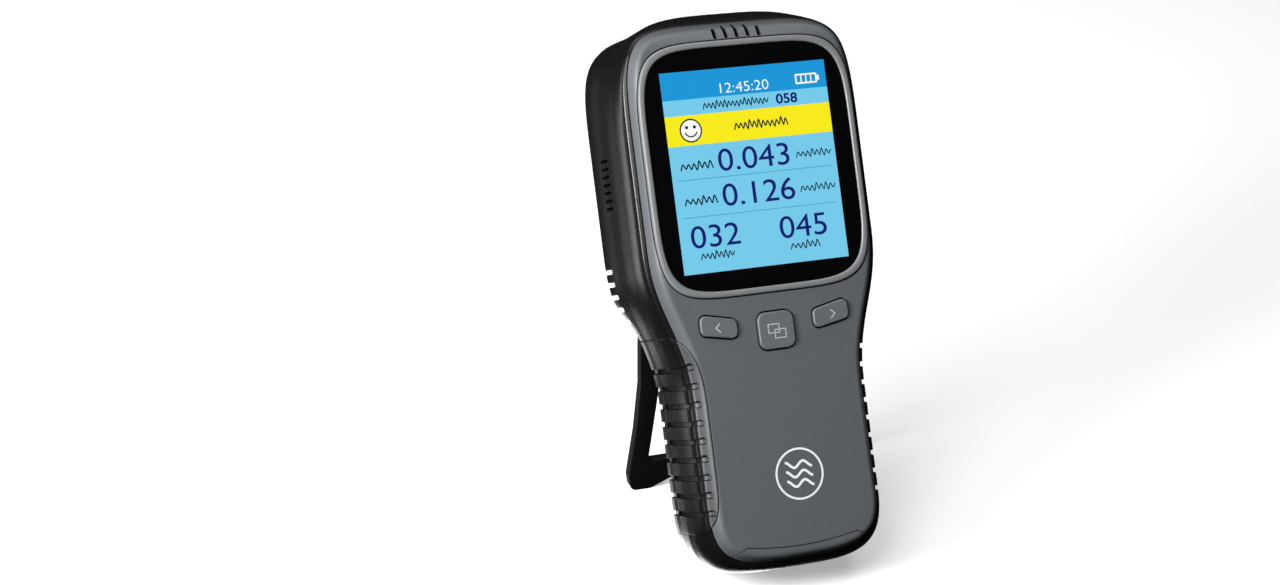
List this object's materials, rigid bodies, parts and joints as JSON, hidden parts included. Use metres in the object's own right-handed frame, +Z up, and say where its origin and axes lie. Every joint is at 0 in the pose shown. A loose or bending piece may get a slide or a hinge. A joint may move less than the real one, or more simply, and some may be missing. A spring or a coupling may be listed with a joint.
{
  "type": "air quality monitor",
  "caption": "Handheld air quality monitor with a colour display, three keys, rubber grips, air slots and a fold-out kickstand.",
  "frame": {"origin": "centre of the bounding box's floor, where the heel and the kickstand's feet rest", "axes": "+X to the display's right, +Y towards the back, +Z up; the display faces -Y and up"},
  "size_m": [0.0942, 0.1412, 0.182],
  "materials": {
    "black_shell": "satin moulded",
    "grey_plate": "fine satin paint",
    "bezel_grey": "satin",
    "lens_black": "gloss",
    "grip_rubber": "soft touch",
    "key_grey": "satin",
    "stand_black": "satin",
    "inner_black": "moulded",
    "silicone": "translucent grey",
    "screen": "lit display",
    "diffuser": "white diffuser",
    "flex": "polyimide",
    "connector": "cream nylon",
    "board_green": "solder mask",
    "chip_black": "epoxy",
    "sensor_grey": "moulded",
    "brass": "turned",
    "steel": "plated",
    "cell_wrap": "shrink sleeve",
    "filter_mesh": "woven mesh",
    "wire": "insulation"
  },
  "bodies": {
    "housing": {"front_shell": "black_shell", "face_plate": "grey_plate", "window_bezel": "bezel_grey", "window_lens": "lens_black", "lens_gasket": "inner_black", "rear_shell": "black_shell", "grip_front_left": "grip_rubber", "grip_front_right": "grip_rubber", "grip_rear_left": "grip_rubber", "grip_rear_right": "grip_rubber", "bottom_bumper": "black_shell", "key_switches": "chip_black", "stand_bracket": "stand_black", "stand_pin": "steel", "lcd_panel": "screen", "lcd_backlight": "diffuser", "lcd_ribbon": "flex", "ribbon_connector": "connector", "main_board": "board_green", "control_chips": "chip_black", "dust_sensor_case": "sensor_grey", "dust_sensor_lid": "sensor_grey", "dust_sensor_board": "board_green", "laser_diode": "brass", "formaldehyde_cell": "connector", "formaldehyde_board": "board_green", "gas_sensor": "steel", "buzzer": "inner_black", "usb_port": "steel", "battery_cells": "cell_wrap", "battery_tray": "inner_black", "battery_lead": "wire", "battery_plug": "connector", "intake_filter": "filter_mesh", "case_screws": "steel", "thread_inserts": "brass", "board_screws": "steel", "bracket_screws": "steel"},
    "stand": {"kickstand": "stand_black"},
    "left_key": {"key_left": "key_grey", "plunger_left": "silicone"},
    "center_key": {"key_center": "key_grey", "plunger_center": "silicone"},
    "right_key": {"key_right": "key_grey", "plunger_right": "silicone"},
    "fan": {"fan_rotor": "inner_black"}
  },
  "joints": [
    {"name": "stand_hinge", "type": "hinge", "parent": "housing", "child": "stand", "pos_m": [0, 0.01692, 0.08127], "axis": [1, 0, 0], "range_deg": [-30.4, 0]},
    {"name": "key_left_press", "type": "slide", "parent": "housing", "child": "left_key", "axis": [0, 0.8434, -0.5373], "range_m": [0, 0.0005], "stiffness_N_per_m": 300},
    {"name": "key_center_press", "type": "slide", "parent": "housing", "child": "center_key", "axis": [0, 0.8434, -0.5373], "range_m": [0, 0.0005], "stiffness_N_per_m": 300},
    {"name": "key_right_press", "type": "slide", "parent": "housing", "child": "right_key", "axis": [0, 0.8434, -0.5373], "range_m": [0, 0.0005], "stiffness_N_per_m": 300},
    {"name": "fan_spin", "type": "hinge", "parent": "housing", "child": "fan", "pos_m": [-0.016, 0.02579, 0.11474], "axis": [0, 0.8434, -0.5373], "continuous": true}
  ]
}
